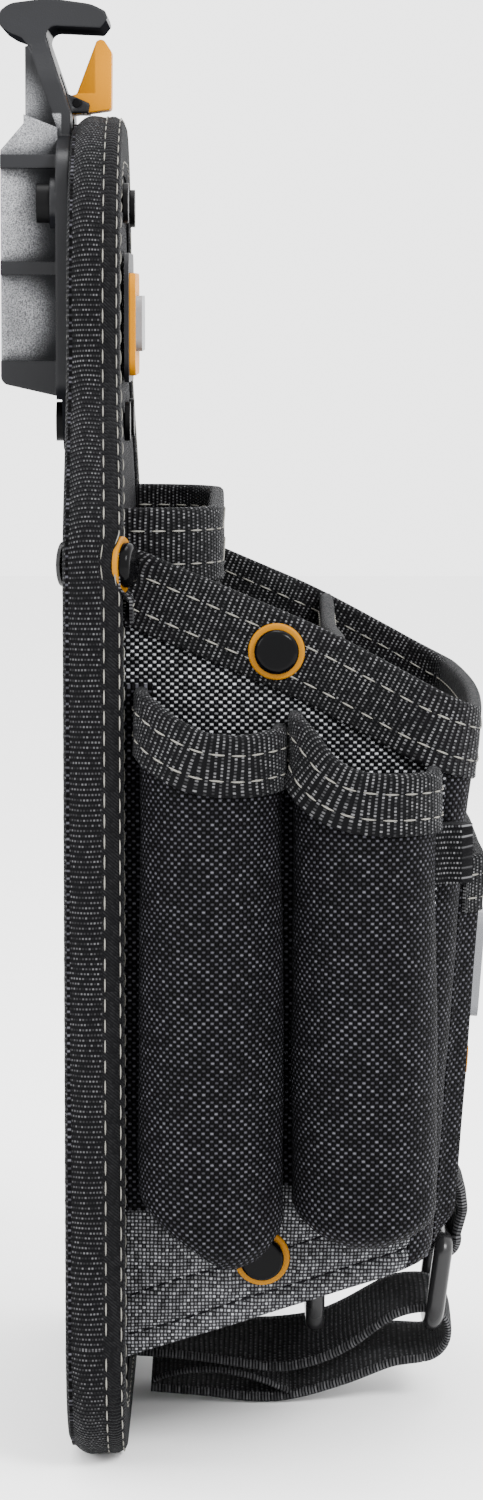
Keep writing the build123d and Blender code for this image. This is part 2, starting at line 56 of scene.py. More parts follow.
ORIGIN = np.array([panel_low.x, 0.0, panel_low.z])


def place(points):
    return np.asarray(points, float) * MM + ORIGIN


def size_mm(node, axis):
    low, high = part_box(node)
    return (high[axis] - low[axis]) / MM


def high_mm(node, axis):
    return (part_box(node)[1][axis] - ORIGIN[axis]) / MM


# ---------------------------------------- sizes shared with the CAD part
PANEL_FRONT = high_mm("panel_binding", 0)
PANEL_HALF = size_mm("panel_binding", 1) / 2
PANEL_TOP = high_mm("panel_binding", 2)
NECK_HALF = 57.0
FOOT_CORNER, SHOULDER_CORNER, TOP_CORNER = 30.0, 28.0, 44.0
SHOULDER_LOW, SHOULDER_HIGH = 205.0, 240.0
CLOTH = 1.6
TAPE = 0.8
POCKET_HALF = 70.0
POCKET_CORNER = 12.0
FRONT_FOOT_X, FRONT_FOOT_Z, FRONT_SLOPE = 80.0, 46.0, 9.0 / 124.0
FRONT_LEAN = 0.0726
RIM_REAR_Z, RIM_SLOPE, RIM_FRONT_Z = 202.0, -0.426, 165.0
FLOOR_REAR_Z, FLOOR_SLOPE = 25.0, 0.31
RIM_BAND, BINDING_THICKNESS, BINDING_WAVE = 15.0, 0.7, 0.25
DIVIDER_X = 58.0
SLEEVE_HALF, SLEEVE_FRONT, SLEEVE_LOW, SLEEVE_TOP = 62.0, 33.0, 88.0, 209.0
TUBE_RADIUS, TUBE_STANDOFF = 15.6, 6.0
HIGH_SEAM, LOW_SEAM = 13.4, 4.8
LOW_RIVET = (42.4, 47.4)
RIM_RIVET = (45.5, 179.6)
CORNER_RIVET = np.array([12.2, 77.0, 198.5])
RIVET_TILT = math.radians(15.0)
TRAY_DEPTH, TRAY_HALF, TRAY_LOW, TRAY_TOP = 5.0, 54.0, 47.0, 132.0
STRAP_HALF, STRAP_THICKNESS = 12.25, 1.8
TAB_HALF = 12.4

# How far the corner rivets' washers sink into tape and into the panel, and how much thinner its neck is.
TAPE_PRESS, PANEL_PRESS = 2.7, 1.0
NECK_THINNING = 0.1

X_AXIS, Y_AXIS, Z_AXIS = np.eye(3)


def rim_z(x):
    return RIM_REAR_Z + RIM_SLOPE * (x - PANEL_FRONT) - 3.4 * smooth_step(50.0, 92.0, x)


def floor_z(x):
    return FLOOR_REAR_Z + FLOOR_SLOPE * (x - PANEL_FRONT)


def front_x(z):
    return FRONT_FOOT_X + FRONT_SLOPE * (z - FRONT_FOOT_Z)


# ---------------------------------------- small geometry tools
def unit(v):
    v = np.asarray(v, float)
    length = np.linalg.norm(v, axis=-1, keepdims=True)
    return v / np.where(length < 1e-9, 1.0, length)


def smooth_step(low, high, x):
    t = np.clip((np.asarray(x, float) - low) / (high - low), 0, 1)
    return t * t * (3 - 2 * t)


def bump(low, high, x):
    """0 at and outside both ends, 1 in the middle."""
    t = np.clip((np.asarray(x, float) - low) / (high - low), 0, 1)
    return np.sin(np.pi * t) ** 2


def ripple(points, scale, seed):
    """Smooth noise from -1 to 1 at each point; scale is the size of a ripple in mm."""
    flat = np.asarray(points, float).reshape(-1, 3) / scale
    values = [noise.noise(Vector((p[0] + seed, p[1] - seed, p[2] + 2 * seed))) for p in flat]
    return np.array(values).reshape(np.shape(points)[:-1])


def filleted(corners, closed=False, arc_step=9.0):
    """Polyline through (a, b) or (a, b, radius) corners, with arcs at the corners."""
    points = [np.array(c[:2], float) for c in corners]
    radii = [c[2] if len(c) == 3 else 0.0 for c in corners]
    count = len(points)
    line = []
    for i, corner in enumerate(points):
        at_end = not closed and i in (0, count - 1)
        if at_end or radii[i] == 0:
            line.append(corner)
            continue
        back = unit(points[i - 1] - corner)
        on = unit(points[(i + 1) % count] - corner)
        half = math.acos(np.clip(np.dot(back, on), -1, 1)) / 2
        reach = radii[i] / math.tan(half)
        middle = corner + unit(back + on) * (radii[i] / math.sin(half))
        start = corner + back * reach - middle
        end = corner + on * reach - middle
        turn = math.atan2(start[0] * end[1] - start[1] * end[0], np.dot(start, end))
        steps = max(2, int(abs(math.degrees(turn)) / arc_step) + 1)
        for k in range(steps + 1):
            angle = turn * k / steps
            c, s = math.cos(angle), math.sin(angle)
            line.append(middle + np.array([c * start[0] - s * start[1], s * start[0] + c * start[1]]))
    return np.array(line)


def right_of(line):
    """Level direction to the right of a line at each of its points."""
    flow = tangents(line)
    return np.column_stack([flow[:, 1], -flow[:, 0], np.zeros(len(line))])


def run_of(line, closed=False):
    """Distance along a polyline at each point, and once more at the end of a closed one."""
    line = np.asarray(line, float)
    if closed:
        line = np.vstack([line, line[:1]])
    return np.r_[0, np.cumsum(np.linalg.norm(np.diff(line, axis=0), axis=1))]


def resample(line, step, closed=False):
    """Evenly spaced points along a polyline."""
    line = np.asarray(line, float)
    if closed:
        line = np.vstack([line, line[:1]])
    run = run_of(line)
    count = max(2, int(round(run[-1] / step)) + 1)
    at = np.linspace(0, run[-1], count)
    out = np.stack([np.interp(at, run, line[:, k]) for k in range(line.shape[1])], 1)
    return out[:-1] if closed else out


def tangents(line, closed=False):
    line = np.asarray(line, float)
    if closed:
        return unit(np.roll(line, -1, 0) - np.roll(line, 1, 0))
    return unit(np.gradient(line, axis=0))


# ---------------------------------------- making pieces
def mesh_piece(name, points, faces, uvs, material, slot, body="pouch", replaces=(), sharp=60.0):
    """A mesh object from points in mm, faces, and one (u, v) in mm for every face corner."""
    mesh = bpy.data.meshes.new(name)
    points = np.array(points, float)
    depth = TAPE_PRESS
    if name.startswith("panel"):
        depth = PANEL_PRESS
        points[..., 0] *= 1 - NECK_THINNING * smooth_step(203, 245, points[..., 2])
    points = fuller_front(pressed(points, depth))
    if name in ("rim_tape", "pocket_stitches"):
        points = over_back_discs(points)
    mesh.from_pydata([tuple(p) for p in place(points)], [], [tuple(f) for f in faces])
    layer = mesh.uv_layers.new(name="weave")
    layer.data.foreach_set("uv", np.asarray(uvs, np.float32).ravel())
    shape = bmesh.new()
    shape.from_mesh(mesh)
    bmesh.ops.remove_doubles(shape, verts=shape.verts, dist=0.001 * MM)
    bmesh.ops.recalc_face_normals(shape, faces=shape.faces)
    shape.to_mesh(mesh)
    shape.free()
    mesh.materials.append(material)
    mesh.polygons.foreach_set("use_smooth", [True] * len(mesh.polygons))
    mesh.set_sharp_from_angle(angle=math.radians(sharp))
    piece = bpy.data.objects.new(name, mesh)
    bpy.context.scene.collection.objects.link(piece)
    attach(piece, body)
    if replaces:
        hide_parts(*replaces)


def ribbon(name, outer, inner, material, slot, closed=False, uv=None, rounded=True, centred=False, **rest):
    """Closed band between two grids of points, (stations, across): its outer and inner faces.
    rounded draws its two long edges out to a soft ridge; centred is for a disc, whose first row is its
    middle."""
    outer, inner = np.asarray(outer, float), np.asarray(inner, float)
    stations, across = outer.shape[:2]
    if uv is None:
        middle = outer[:, across // 2]
        u = run_of(middle, closed)[:stations]
        v = np.r_[0, np.cumsum(np.linalg.norm(np.diff(outer, axis=1), axis=2).mean(0))]
        uv = np.stack(np.meshgrid(u, v, indexing="ij"), -1)
    full_turn = run_of(outer[:, across // 2], closed)[-1] if closed else 0.0
    ring = np.concatenate([outer, inner[:, ::-1]], 1)
    ring_uv = np.concatenate([uv, uv[:, ::-1]], 1)
    if rounded:
        def ridge(j, k):
            thickness = np.linalg.norm(outer[:, j] - inner[:, j], axis=1, keepdims=True)
            return (outer[:, j] + inner[:, j]) / 2 + unit(outer[:, j] - outer[:, k]) * thickness * 0.4
        far, near = ridge(-1, -2), ridge(0, 1)
        ring = np.concatenate([ring[:, :across], far[:, None], ring[:, across:], near[:, None]], 1)
        ring_uv = np.concatenate(
            [ring_uv[:, :across], uv[:, -1:], ring_uv[:, across:], uv[:, :1]], 1
        )
    width = ring.shape[1]
    faces, corners = [], []
    for i in range(stations if closed else stations - 1):
        i2 = (i + 1) % stations
        shift = np.array([full_turn, 0.0]) if i2 == 0 else np.zeros(2)
        for j in range(width - 1 if centred else width):
            j2 = (j + 1) % width
            faces.append((i * width + j, i2 * width + j, i2 * width + j2, i * width + j2))
            corners += [ring_uv[i, j], ring_uv[i2, j] + shift, ring_uv[i2, j2] + shift, ring_uv[i, j2]]
    if not closed:
        for i in (0, stations - 1):
            for j in range(across if rounded else across - 1):
                face = (j, j + 1, width - 2 - j, width - 1 - j)
                faces.append(tuple(i * width + k for k in face))
                corners += [ring_uv[i, k] for k in face]
    mesh_piece(name, ring.reshape(-1, 3), faces, corners, material, slot, **rest)


def swept(name, base, side, up, profile, thickness, material, slot, closed=False, **rest):
    """Band of tape along base: profile holds, for each station, the (side, up) points of its outer face.
    The inner face lies thickness inwards, to the left of the profile's direction."""
    flow = unit(np.gradient(profile, axis=-2))
    inward = np.stack([-flow[..., 1], flow[..., 0]], -1) * thickness

    def carried(shape):
        return base[:, None] + side[:, None] * shape[..., 0:1] + up[:, None] * shape[..., 1:2]

    ribbon(name, carried(profile), carried(profile + inward), material, slot, closed, **rest)


def stitch_mesh(name, rows, material, slot, dash, gap, radius=0.21):
    """Rows of thread dashes, as small pointed bars. A row is (line, normals): points on the cloth's
    surface in mm, and the outward direction at each."""
    ring_count, side_count = 6, 6
    points, faces = [], []
    for line, normals in rows:
        line, normals = np.asarray(line, float), np.asarray(normals, float)
        run = run_of(line)
        count = int((run[-1] + gap) // (dash + gap))
        spare = (run[-1] - count * (dash + gap) + gap) / 2
        for n in range(count):
            start = spare + n * (dash + gap)
            at = start + dash * np.linspace(0, 1, ring_count)
            middle = np.stack([np.interp(at, run, line[:, k]) for k in range(3)], 1)
            normal = unit(np.stack([np.interp(at, run, normals[:, k]) for k in range(3)], 1))
            along = tangents(middle)
            side = unit(np.cross(along, normal))
            swell = np.sin(np.pi * np.linspace(0.06, 0.94, ring_count)) ** 0.6
            lift = (swell - 0.55) * radius * 1.3
            base = len(points)
            for r in range(ring_count):
                for k in range(side_count):
                    angle = 2 * math.pi * k / side_count
                    offset = side[r] * math.cos(angle) + normal[r] * math.sin(angle) * 0.8
                    points.append(middle[r] + normal[r] * lift[r] + offset * radius * swell[r])
            for r in range(ring_count - 1):
                for k in range(side_count):
                    k2 = (k + 1) % side_count
                    a, b = base + r * side_count, base + (r + 1) * side_count
                    faces.append((a + k, b + k, b + k2, a + k2))
            faces.append(tuple(base + k for k in range(side_count)))
            last = base + (ring_count - 1) * side_count
            faces.append(tuple(last + k for k in reversed(range(side_count))))
    corners = [(0.0, 0.0)] * sum(len(f) for f in faces)
    mesh_piece(name, np.array(points), faces, corners, material, slot, sharp=80.0)


# ---------------------------------------- materials
LINT = (0.75, 0.77, 0.8)
FIBRE_SCALE = 2600.0
LOOP_PITCH = 0.75


class Graph:
    """Short names for making a node tree."""

    def __init__(self, name):
        self.material = bpy.data.materials.new(name)
        self.material.use_nodes = True
        self.tree = self.material.node_tree
        self.tree.nodes.clear()
        output = self.tree.nodes.new("ShaderNodeOutputMaterial")
        self.shader = self.tree.nodes.new("ShaderNodeBsdfPrincipled")
        self.tree.links.new(self.shader.outputs[0], output.inputs[0])

    def put(self, value, socket):
        if isinstance(value, bpy.types.NodeSocket):
            self.tree.links.new(value, socket)
        elif isinstance(value, (tuple, list)) and len(value) == 3 and socket.type == "RGBA":
            socket.default_value = (*value, 1.0)
        else:
            socket.default_value = value

    def node(self, kind, settings=None, **inputs):
        made = self.tree.nodes.new("ShaderNode" + kind)
        for key, value in (settings or {}).items():
            setattr(made, key, value)
        for key, value in inputs.items():
            self.put(value, made.inputs[key.replace("_", " ")])
        return made

    def math(self, operation, *values, clamp=False):
        made = self.tree.nodes.new("ShaderNodeMath")
        made.operation = operation
        made.use_clamp = clamp
        for value, socket in zip(values, made.inputs):
            self.put(value, socket)
        return made.outputs[0]

    def mix(self, factor, a, b):
        made = self.tree.nodes.new("ShaderNodeMix")
        made.data_type = "RGBA"
        for value, index in ((factor, 0), (a, 6), (b, 7)):
            self.put(value, made.inputs[index])
        return made.outputs[2]

    def step(self, low, high, value):
        made = self.node("MapRange", {"interpolation_type": "SMOOTHSTEP"}, Value=value)
        made.inputs["From Min"].default_value = low
        made.inputs["From Max"].default_value = high
        return made.outputs[0]

    def fall(self, low, high, value):
        """1 below low and 0 above high."""
        return self.math("SUBTRACT", 1.0, self.step(low, high, value))

    def uv(self):
        split = self.node("SeparateXYZ", Vector=self.node("UVMap", {"uv_map": "weave"}).outputs[0])
        return split.outputs[0], split.outputs[1]

    def place(self):
        """The point in the body's own frame, in metres."""
        return self.node("TexCoord").outputs["Object"]

    def wave(self, value):
        """0 at each whole number and 1 half-way between them."""
        return self.math("SINE", self.math("MULTIPLY", self.math("FRACT", value), math.pi))

    def scaled(self, colour, factor):
        made = self.node("VectorMath", {"operation": "SCALE"}, Scale=factor)
        self.put(colour, made.inputs[0])
        return made.outputs[0]

    def noise(self, vector, scale, detail=2.0, roughness=0.5):
        return self.node(
            "TexNoise", Vector=vector, Scale=scale, Detail=detail, Roughness=roughness
        ).outputs["Fac"]

    def cell_noise(self, a, b):
        point = self.node("CombineXYZ", X=a, Y=b).outputs[0]
        return self.node("TexWhiteNoise", {"noise_dimensions": "3D"}, Vector=point).outputs["Value"]

    def bump(self, height, distance, strength, edge=0.0):
        """Relief from height; edge also softens the model's own sharp edges to that radius."""
        made = self.node("Bump", Height=height, Distance=distance, Strength=strength)
        if edge:
            self.put(self.node("Bevel", {"samples": 6}, Radius=edge).outputs[0], made.inputs["Normal"])
        self.put(made.outputs[0], self.shader.inputs["Normal"])

    def surface(self, **inputs):
        for key, value in inputs.items():
            self.put(value, self.shader.inputs[key.replace("_", " ")])
        return self.material


def shade_patches(graph, depth=0.25):
    """Slow change of brightness over the cloth, around 1."""
    value = graph.noise(graph.place(), 60.0, 3.0)
    return graph.math("MULTIPLY_ADD", value, 2 * depth, 1 - depth)


def woven(name, yarn, weft, warp, spread, roughness, sheen, depth, speck, gap, warp_low=None,
          low_z=0.0, high_z=0.0):
    """Plain weave of two yarns; weft is the one that runs along u. spread is how much the colour changes
    from one crossing to the next, speck how bright some weft crossings are, gap how wide the holes
    between yarns are, which get painted shade; warp_low is the warp's colour below low_z."""
    g = Graph(name)
    u, v = g.uv()
    slow = g.noise(g.place(), 90.0, 2.0)
    su = g.math("MULTIPLY_ADD", slow, 0.9, g.math("DIVIDE", u, yarn))
    sv = g.math("MULTIPLY_ADD", slow, -0.9, g.math("DIVIDE", v, yarn * 0.92))
    iu, iv = g.math("FLOOR", su), g.math("FLOOR", sv)
    parity = g.math("FLOORED_MODULO", g.math("ADD", iu, iv), 2.0)
    bu, bv = g.wave(su), g.wave(sv)
    on_weft = g.math("MULTIPLY", bv, g.math("POWER", bu, 0.45))
    on_warp = g.math("MULTIPLY", bu, g.math("POWER", bv, 0.45))
    height = g.node("Mix", A=on_weft, B=g.math("MULTIPLY", on_warp, 0.85), Factor=parity).outputs[0]
    cell = g.cell_noise(iu, iv)
    tone = g.math("MULTIPLY_ADD", g.math("SUBTRACT", cell, 0.5), spread, 1.0)
    tone = g.math("MULTIPLY", tone, shade_patches(g))
    # Painted shade: the colour darkens down into the holes between the yarns, to a tenth at their bottom.
    hollow_shade = g.math("MULTIPLY_ADD", g.step(gap, gap + 0.65, height), 0.9, 0.1)
    if warp_low:
        rise = g.step(low_z, high_z, g.node("SeparateXYZ", Vector=g.place()).outputs[2])
        warp = g.mix(rise, warp_low, warp)
        weft = g.mix(rise, tuple(0.68 * c for c in weft), weft)
        speck = g.math("MULTIPLY", rise, speck)
    colour = g.mix(parity, weft, warp)
    bright = g.math("MULTIPLY", g.step(0.72, 0.98, cell), g.math("SUBTRACT", 1.0, parity))
    colour = g.mix(g.math("MULTIPLY", bright, speck), colour, (0.27, 0.275, 0.29))
    colour = g.scaled(colour, g.math("MULTIPLY", tone, hollow_shade))
    fibre = g.noise(g.place(), FIBRE_SCALE, 1.0)
    g.bump(g.math("MULTIPLY_ADD", fibre, 0.25, height), depth * MM, 0.9)
    return g.surface(
        Base_Color=colour, Roughness=roughness, Sheen_Weight=sheen, Sheen_Roughness=0.45,
        Sheen_Tint=LINT, Specular_IOR_Level=0.03,
    )


def webbing(name, pitch, dark, light, amount, selvedge=None, border=None):
    """Ribbed tape: ribs lie across the tape, each a row of thread crossings whose tops get painted
    highlights, the glints of light they would catch. Up to selvedge along v it is a duller, finer twill
    with painted highlights on its wales. border is the width of a tape with looped edges, whose loops get
    painted highlights too."""
    g = Graph(name)
    u, v = g.uv()
    slow = g.noise(g.place(), 70.0, 2.0)
    su = g.math("MULTIPLY_ADD", slow, 0.8, g.math("DIVIDE", u, pitch))
    rib = g.math("FLOOR", su)
    stagger = g.math("MULTIPLY", g.math("FLOORED_MODULO", rib, 2.0), 0.5)
    sv = g.math("ADD", g.math("DIVIDE", v, 0.72), stagger)
    ridge, bead = g.wave(su), g.wave(sv)
    cell = g.cell_noise(rib, g.math("FLOOR", sv))
    # Painted highlights: the tops of the rib crossings are coloured towards the light colour, as glints of
    # light on the threads.
    crossing = g.math("MULTIPLY", g.step(0.70, 0.98, ridge), g.step(0.35, 0.9, bead))
    painted_glint = g.math("MULTIPLY", crossing, g.math("MULTIPLY_ADD", g.math("POWER", cell, 1.4), 1.25, 0.1))
    painted_glint = g.math("MULTIPLY", painted_glint, shade_patches(g, 0.35))
    # The looped edges' beads and the selvedge twill's wales below are painted highlights as well.
    if border:
        middle = g.math("ABSOLUTE", g.math("SUBTRACT", v, border / 2))
        edge = g.step(border / 2 - 1.9, border / 2 - 1.2, middle)
        loop = g.wave(g.math("DIVIDE", u, LOOP_PITCH))
        beads = g.math("MULTIPLY", g.step(0.35, 0.95, loop), g.math("MULTIPLY_ADD", cell, 0.5, 0.25))
        painted_glint = g.node("Mix", Factor=edge, A=g.math("MULTIPLY", painted_glint, 0.45), B=beads).outputs[0]
    if selvedge:
        main = g.step(selvedge - 0.3, selvedge + 0.3, v)
        wale = g.wave(g.math("ADD", g.math("DIVIDE", u, LOOP_PITCH), g.math("DIVIDE", v, 0.9)))
        twill = g.math("MULTIPLY", g.step(0.35, 0.9, wale), 0.13)
        twill = g.math("MULTIPLY", twill, g.math("MULTIPLY_ADD", cell, 0.8, 0.2))
        painted_glint = g.node("Mix", Factor=main, A=twill, B=painted_glint).outputs[0]
    colour = g.mix(g.math("MULTIPLY", painted_glint, amount, clamp=True), dark, light)
    height = g.math("MULTIPLY", ridge, g.math("MULTIPLY_ADD", bead, 0.45, 0.55))
    fibre = g.noise(g.place(), FIBRE_SCALE, 1.0)
    g.bump(g.math("MULTIPLY_ADD", fibre, 0.2, height), 0.28 * MM, 0.9)
    return g.surface(
        Base_Color=colour, Roughness=0.78, Sheen_Weight=0.03, Sheen_Roughness=0.4,
        Sheen_Tint=LINT, Specular_IOR_Level=0.04,
    )


def plain(name, colour, roughness, grain=0.004, grain_size=0.4, metallic=0.0, vary=0.06, specular=0.5,
          edge=0.0):
    """Moulded or coated surface with a fine grain and slight unevenness."""
    g = Graph(name)
    point = g.place()
    slow = g.noise(point, 45.0, 3.0)
    tone = g.math("MULTIPLY_ADD", slow, 2 * vary, 1 - vary)
    shade = g.scaled(colour, tone)
    fine = g.noise(point, 1000.0 / grain_size, 2.0, 0.6)
    g.bump(fine, grain * MM, 0.8, edge * MM)
    rough = g.math("MULTIPLY_ADD", slow, 0.12, roughness - 0.06)
    return g.surface(
        Base_Color=shade, Roughness=rough, Metallic=metallic, Specular_IOR_Level=specular,
    )


def bracket_plastic():
    """Dark moulded plastic, smooth on ribs and borders, with coarse pale grain on the recessed sides. The
    grain has painted shade where it is closed in, and faces turned down reflect less, as painted shade.
    """
    g = Graph("bracket_plastic")
    point = g.place()
    x, y, z = g.node("SeparateXYZ", Vector=point).outputs
    _, normal_y, normal_z = g.node("SeparateXYZ", Vector=g.node("TexCoord").outputs["Normal"]).outputs
    off_middle = g.math("ABSOLUTE", y)
    sideways = g.step(0.55, 0.8, g.math("ABSOLUTE", normal_y))
    # The grain stops inside the side borders, fades up the stem, ends at the front border, and above the
    # box lies on the stem's sunken web only.
    inside, on_web = g.fall(0.0274, 0.0282, off_middle), g.fall(0.0172, 0.0178, off_middle)
    up_stem, on_box = g.fall(0.034, 0.0475, z), g.fall(0.0355, 0.0361, z)
    behind = g.fall(0.0130, 0.0134, x)
    mask = g.math("MULTIPLY", g.math("MULTIPLY", sideways, inside), g.math("MULTIPLY", up_stem, behind))
    mask = g.math("MULTIPLY", mask, g.math("MAXIMUM", on_box, on_web))
    grain = g.noise(point, 3300.0, 2.0, 0.6)
    speckle = g.step(0.30, 0.72, grain)
    cloud = g.math("MULTIPLY_ADD", g.noise(point, 130.0, 2.0), 0.9, 0.1)
    pale = g.mix(g.math("MULTIPLY", speckle, cloud), (0.07, 0.071, 0.076), (0.50, 0.505, 0.52))
    slow = g.noise(point, 60.0, 3.0)
    dark = g.mix(slow, (0.0030, 0.0031, 0.0037), (0.0075, 0.0078, 0.0092))
    # Painted shade: the pale grain darkens to near black where ambient occlusion finds it closed in, under
    # the ribs and in the recesses.
    ao_for_painted_shade = g.node("AmbientOcclusion", {"samples": 8}, Distance=7 * MM).outputs["AO"]
    pale = g.mix(g.step(0.35, 0.95, ao_for_painted_shade), (0.012, 0.0125, 0.014), pale)
    colour = g.mix(mask, dark, pale)
    fine = g.noise(point, 3200.0, 1.0)
    height = g.math("MULTIPLY_ADD", grain, g.math("MULTIPLY", mask, 1.2), g.math("MULTIPLY", fine, 0.25))
    g.bump(height, 0.16 * MM, 0.8, 0.9 * MM)
    rough = g.math("MULTIPLY_ADD", mask, 0.25, 0.42)
    # Painted shade: faces turned downwards get less specular, cutting their reflection of the bright floor
    # and world.
    underneath = g.step(0.3, 0.6, g.math("MULTIPLY", normal_z, -1.0))
    shine = g.math("MULTIPLY_ADD", underneath, -0.16, 0.16)
    return g.surface(Base_Color=colour, Roughness=rough, Specular_IOR_Level=shine)


BLACK = (0.0016, 0.0016, 0.0019)
# The tapes' light colour, here and the strap's grey below, is the colour of their painted highlights on
# thread tops.
TAPE_GLINT = (0.085, 0.085, 0.088)
edge_webbing = webbing("edge_webbing", 1.1, BLACK, TAPE_GLINT, 0.5, selvedge=16.2)
rim_webbing = webbing("rim_webbing", 1.12, BLACK, TAPE_GLINT, 0.85)
strap_webbing = webbing("strap_webbing", 1.15, (0.0026, 0.0026, 0.0030), (0.10, 0.10, 0.104), 1.0,
                        border=2 * STRAP_HALF)
heather = woven("heather_weave", 0.86, (0.24, 0.244, 0.257), (0.003, 0.003, 0.004), 1.3, 0.8, 0.01, 0.32,
                speck=0.6, gap=0.3, warp_low=(0.10, 0.101, 0.108), low_z=-0.19, high_z=-0.13)
# On this cloth speck lightens some yarn tops as painted glints, painted highlights.
ballistic = woven("ballistic_weave", 0.92, (0.031, 0.0306, 0.036), (0.0014, 0.0012, 0.0016), 1.1, 0.7,
                  0.004, 0.24, speck=0.03, gap=0.35)
thread = plain("stitch_thread", (0.13, 0.126, 0.112), 0.75, vary=0.5, specular=0.1)
dark_thread = plain("dark_thread", (0.004, 0.004, 0.005), 0.75, vary=0.5, specular=0.04)
amber = plain("amber_plastic", (0.39, 0.148, 0.0), 0.42, grain=0.03, grain_size=0.5, vary=0.05,
              specular=0.03, edge=0.5)
washer_amber = plain("washer_amber", (0.22, 0.088, 0.0), 0.38, vary=0.1, specular=0.08, edge=0.25)
cap_black = plain("cap_black", (0.0014, 0.0014, 0.0016), 0.12, vary=0.2, specular=0.05, edge=0.4)
head_black = plain("head_black", (0.0016, 0.0016, 0.0018), 0.4, vary=0.2, specular=0.06, edge=0.4)
coated = plain("coated_metal", (0.009, 0.009, 0.0095), 0.26, grain=0.012, grain_size=0.8, vary=0.15,
               specular=0.22)
steel = plain("pin_steel", (0.42, 0.43, 0.45), 0.32, metallic=1.0)
badge_dark = plain("badge_dark", (0.004, 0.004, 0.005), 0.5, grain=0.03, grain_size=0.5, specular=0.2)
badge_grey = plain("badge_grey", (0.14, 0.143, 0.152), 0.4, grain=0.015, grain_size=0.5, specular=0.3)
bracket_material = bracket_plastic()

for node, material in {
    "clip_bracket": bracket_material, "release_lever": amber, "lever_pin": head_black,
    "lever_spring": steel, "bracket_rivets": head_black, "rivet_caps": cap_black, "rivet_posts": coated,
    "rivet_washers": washer_amber, "front_ring": coated, "rear_ring": coated,
    "panel_badge_base": badge_dark, "panel_badge_body": amber, "panel_badge_face": badge_grey,
    "front_badge_base": badge_dark, "front_badge_face": badge_grey, "front_badge_accent": amber,
}.items():
    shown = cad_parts[node]
    shown.data.materials.clear()
    shown.data.materials.append(material)


# ---------------------------------------- back panel and its binding
def panel_outline(step):
    corners = [
        (-PANEL_HALF, 0, FOOT_CORNER), (PANEL_HALF, 0, FOOT_CORNER),
        (PANEL_HALF, SHOULDER_LOW, SHOULDER_CORNER), (NECK_HALF, SHOULDER_HIGH, SHOULDER_CORNER),
        (NECK_HALF, PANEL_TOP, TOP_CORNER), (-NECK_HALF, PANEL_TOP, TOP_CORNER),
        (-NECK_HALF, SHOULDER_HIGH, SHOULDER_CORNER), (-PANEL_HALF, SHOULDER_LOW, SHOULDER_CORNER),
    ]
    return resample(filleted(corners, closed=True), step, closed=True)


def panel_frames(step):
    """Points on the panel's outline in the plane x = 0, and the inward direction at each."""
    line = panel_outline(step)
    flow = tangents(line, closed=True)
    inward = np.stack([np.zeros(len(line)), -flow[:, 1], flow[:, 0]], 1)
    base = np.stack([np.zeros(len(line)), line[:, 0], line[:, 1]], 1)
    return base, inward


def on_panel(step, x, depth):
    """Line at a depth inside the outline, at x, and the inward direction at each point."""
    base, inward = panel_frames(step)
    line = base + inward * depth
    line[:, 0] = x
    return line, inward


def make_panel():
    """The board's cloth cover, the binding round its edge and their stitches."""
    base, inward = panel_frames(1.3)
    # Section of the binding, as (inwards, forward): the rear face, round the edge, then the front face.
    edge = filleted(
        [(13.0, 0.05), (3.4, 0.0, 3.0), (0.0, 4.0, 4.5), (0.75, 8.7, 0.6), (0.35, 10.6, 1.6),
         (1.6, 12.9, 1.5), (13.0, 12.75)], arc_step=14,
    )
    edge = resample(edge, 0.9)[::-1]
    soft = ripple(base, 18.0, 3.0)
    profile = np.repeat(edge[None], len(base), 0)
    profile[..., 0] += 0.22 * soft[:, None] * np.exp(-edge[None, :, 0] / 4.0)
    forward = np.broadcast_to(X_AXIS, inward.shape)
    swept("panel_binding_tape", base, inward, forward, profile, TAPE, edge_webbing, "webbing",
          closed=True, replaces=["panel_binding"])

    centre = np.array([0.0, 150.0])
    outline = panel_outline(3.0)
    flow = tangents(outline, closed=True)
    outline = outline + np.stack([-flow[:, 1], flow[:, 0]], 1) * 2.2
    rings = np.linspace(0, 1, 27)
    plan = centre + (outline[:, None] - centre) * rings[None, :, None]
    edge_fall = 1 - rings ** 5
    point = np.concatenate([np.zeros(plan.shape[:2] + (1,)), plan], -1)
    low = smooth_step(222, 190, plan[..., 1])
    crown = edge_fall[None] * (0.45 + 0.25 * ripple(point, 35.0, 7.0))
    outer = point.copy()
    outer[..., 0] = 11.9 + crown * (1 - 0.8 * smooth_step(228, 244, plan[..., 1]))
    inner = point.copy()
    inner[..., 0] = 0.75 - crown * low
    ribbon("panel_cover", outer, inner, ballistic, "panel_board", closed=True, uv=plan, rounded=False,
           centred=True, replaces=["back_panel"])

    # Rows sewn in the groove of the edge, at the front corner, and through both faces.
    groove, groove_in = on_panel(1.0, 8.9, 0.62)
    corner, corner_in = on_panel(1.0, 12.15, 1.0)
    sewn = 10.6
    face, _ = on_panel(1.0, 12.85, sewn)
    rear, _ = on_panel(1.0, -0.05, sewn)
    ahead = np.broadcast_to(X_AXIS, face.shape)
    stitch_mesh(
        "panel_stitches",
        [(groove, -groove_in), (corner, -corner_in + 0.7 * ahead), (face, ahead), (rear, -ahead)],
        thread, "webbing", dash=3.1, gap=1.3, radius=0.18,
    )


def off_axis(points, rivet):
    """Distance of each point from the axis of a rivet in the side walls."""
    return np.hypot(points[..., 0] - rivet[0], points[..., 2] - rivet[1])


